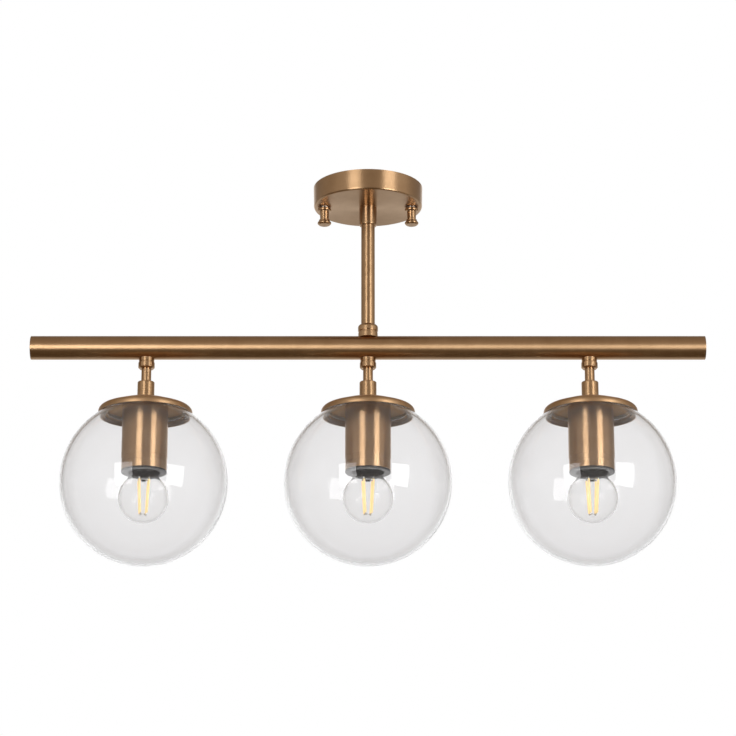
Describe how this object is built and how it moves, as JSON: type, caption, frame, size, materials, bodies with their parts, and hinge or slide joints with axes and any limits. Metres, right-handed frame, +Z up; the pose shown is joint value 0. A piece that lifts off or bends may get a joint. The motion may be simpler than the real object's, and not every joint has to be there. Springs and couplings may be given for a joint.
{
  "type": "linear ceiling light with clear globes",
  "caption": "Semi-flush ceiling light: round canopy and short stem carry a straight bar with clear glass globes hanging on short drops around cup-shaped lamp holders.",
  "frame": {"origin": "centre of the canopy at the ceiling, on the top face of the fixing strap", "axes": "+Z up into the ceiling, +X along the bar, -Y towards the viewer"},
  "size_m": [0.61, 0.15, 0.3548],
  "materials": {
    "antique_brass": "antique brass, brushed round each turned piece and lacquered",
    "zinc_steel": "zinc plated steel",
    "yellow_brass": "plain brass",
    "clear_glass": "clear polished glass",
    "lamp_glass": "clear thin glass",
    "black_moulding": "glossy black heat-resisting moulding",
    "soft_ring": "soft pale silicone",
    "lamp_cap": "nickelled screw shell with a black insulator and a lead contact",
    "filament": "yellow phosphor coating on straight sticks, with steel end wires",
    "connector": "translucent grey body with orange levers",
    "lead_sleeve": "smooth sleeve, brown for live and blue for neutral",
    "earth_sleeve": "smooth green and yellow sleeve with tinned lugs"
  },
  "bodies": {
    "fixture": {"crossbar": "zinc_steel", "crossbar_studs": "zinc_steel", "stud_nuts": "zinc_steel", "earth_screw": "yellow_brass", "earth_lead": "earth_sleeve", "wire_connectors": "connector", "canopy": "antique_brass", "stem_nut": "zinc_steel", "stem_washer": "zinc_steel", "stem_nipple": "zinc_steel", "stem_collar_top": "antique_brass", "stem_tube": "antique_brass", "stem_collar_bottom": "antique_brass", "bar_tube": "antique_brass", "bar_cap_left": "antique_brass", "bar_cap_right": "antique_brass", "bar_bushes": "yellow_brass", "globe_gaskets": "soft_ring", "holder_nipples": "zinc_steel", "holder_nuts": "zinc_steel", "holder_shells": "yellow_brass", "centre_contacts": "yellow_brass", "lamp_leads": "lead_sleeve", "left_drop_collar": "antique_brass", "left_drop_rod": "antique_brass", "left_drop_coupling": "antique_brass", "left_globe_cap": "antique_brass", "left_socket_cup": "antique_brass", "left_lampholder": "black_moulding", "centre_drop_collar": "antique_brass", "centre_drop_rod": "antique_brass", "centre_drop_coupling": "antique_brass", "centre_globe_cap": "antique_brass", "centre_socket_cup": "antique_brass", "centre_lampholder": "black_moulding", "right_drop_collar": "antique_brass", "right_drop_rod": "antique_brass", "right_drop_coupling": "antique_brass", "right_globe_cap": "antique_brass", "right_socket_cup": "antique_brass", "right_lampholder": "black_moulding"},
    "left_globe_glass": {"left_globe": "clear_glass"},
    "left_bulb": {"left_bulb_glass": "lamp_glass", "left_bulb_base": "lamp_cap", "left_bulb_stem": "lamp_glass", "left_bulb_filaments": "filament"},
    "centre_globe_glass": {"centre_globe": "clear_glass"},
    "centre_bulb": {"centre_bulb_glass": "lamp_glass", "centre_bulb_base": "lamp_cap", "centre_bulb_stem": "lamp_glass", "centre_bulb_filaments": "filament"},
    "right_globe_glass": {"right_globe": "clear_glass"},
    "right_bulb": {"right_bulb_glass": "lamp_glass", "right_bulb_base": "lamp_cap", "right_bulb_stem": "lamp_glass", "right_bulb_filaments": "filament"},
    "left_knob_washer": {"knob_washer_left": "zinc_steel"},
    "left_knob": {"knob_left": "antique_brass"},
    "right_knob_washer": {"knob_washer_right": "zinc_steel"},
    "right_knob": {"knob_right": "antique_brass"}
  },
  "joints": [
    {"name": "left_globe_removal", "type": "slide", "parent": "fixture", "child": "left_globe_glass", "axis": [0, 0, -1], "range_m": [0, 0.115]},
    {"name": "left_bulb_removal", "type": "slide", "parent": "fixture", "child": "left_bulb", "axis": [0, 0, -1], "range_m": [0, 0.0275]},
    {"name": "centre_globe_removal", "type": "slide", "parent": "fixture", "child": "centre_globe_glass", "axis": [0, 0, -1], "range_m": [0, 0.115]},
    {"name": "centre_bulb_removal", "type": "slide", "parent": "fixture", "child": "centre_bulb", "axis": [0, 0, -1], "range_m": [0, 0.0275]},
    {"name": "right_globe_removal", "type": "slide", "parent": "fixture", "child": "right_globe_glass", "axis": [0, 0, -1], "range_m": [0, 0.115]},
    {"name": "right_bulb_removal", "type": "slide", "parent": "fixture", "child": "right_bulb", "axis": [0, 0, -1], "range_m": [0, 0.0275]},
    {"name": "left_knob_travel", "type": "slide", "parent": "fixture", "child": "left_knob_washer", "axis": [0, 0, -1], "range_m": [0, 0.0096]},
    {"name": "left_knob_turn", "type": "hinge", "parent": "left_knob_washer", "child": "left_knob", "pos_m": [-0.04, 0, -0.028], "axis": [0, 0, -1], "range_deg": [0, 4940]},
    {"name": "right_knob_travel", "type": "slide", "parent": "fixture", "child": "right_knob_washer", "axis": [0, 0, -1], "range_m": [0, 0.0096]},
    {"name": "right_knob_turn", "type": "hinge", "parent": "right_knob_washer", "child": "right_knob", "pos_m": [0.04, 0, -0.028], "axis": [0, 0, -1], "range_deg": [0, 4940]}
  ],
  "couplings": [
    {"joint": "left_knob_turn", "follows": "left_knob_travel", "rad_per_m": 8976},
    {"joint": "right_knob_turn", "follows": "right_knob_travel", "rad_per_m": 8976}
  ]
}
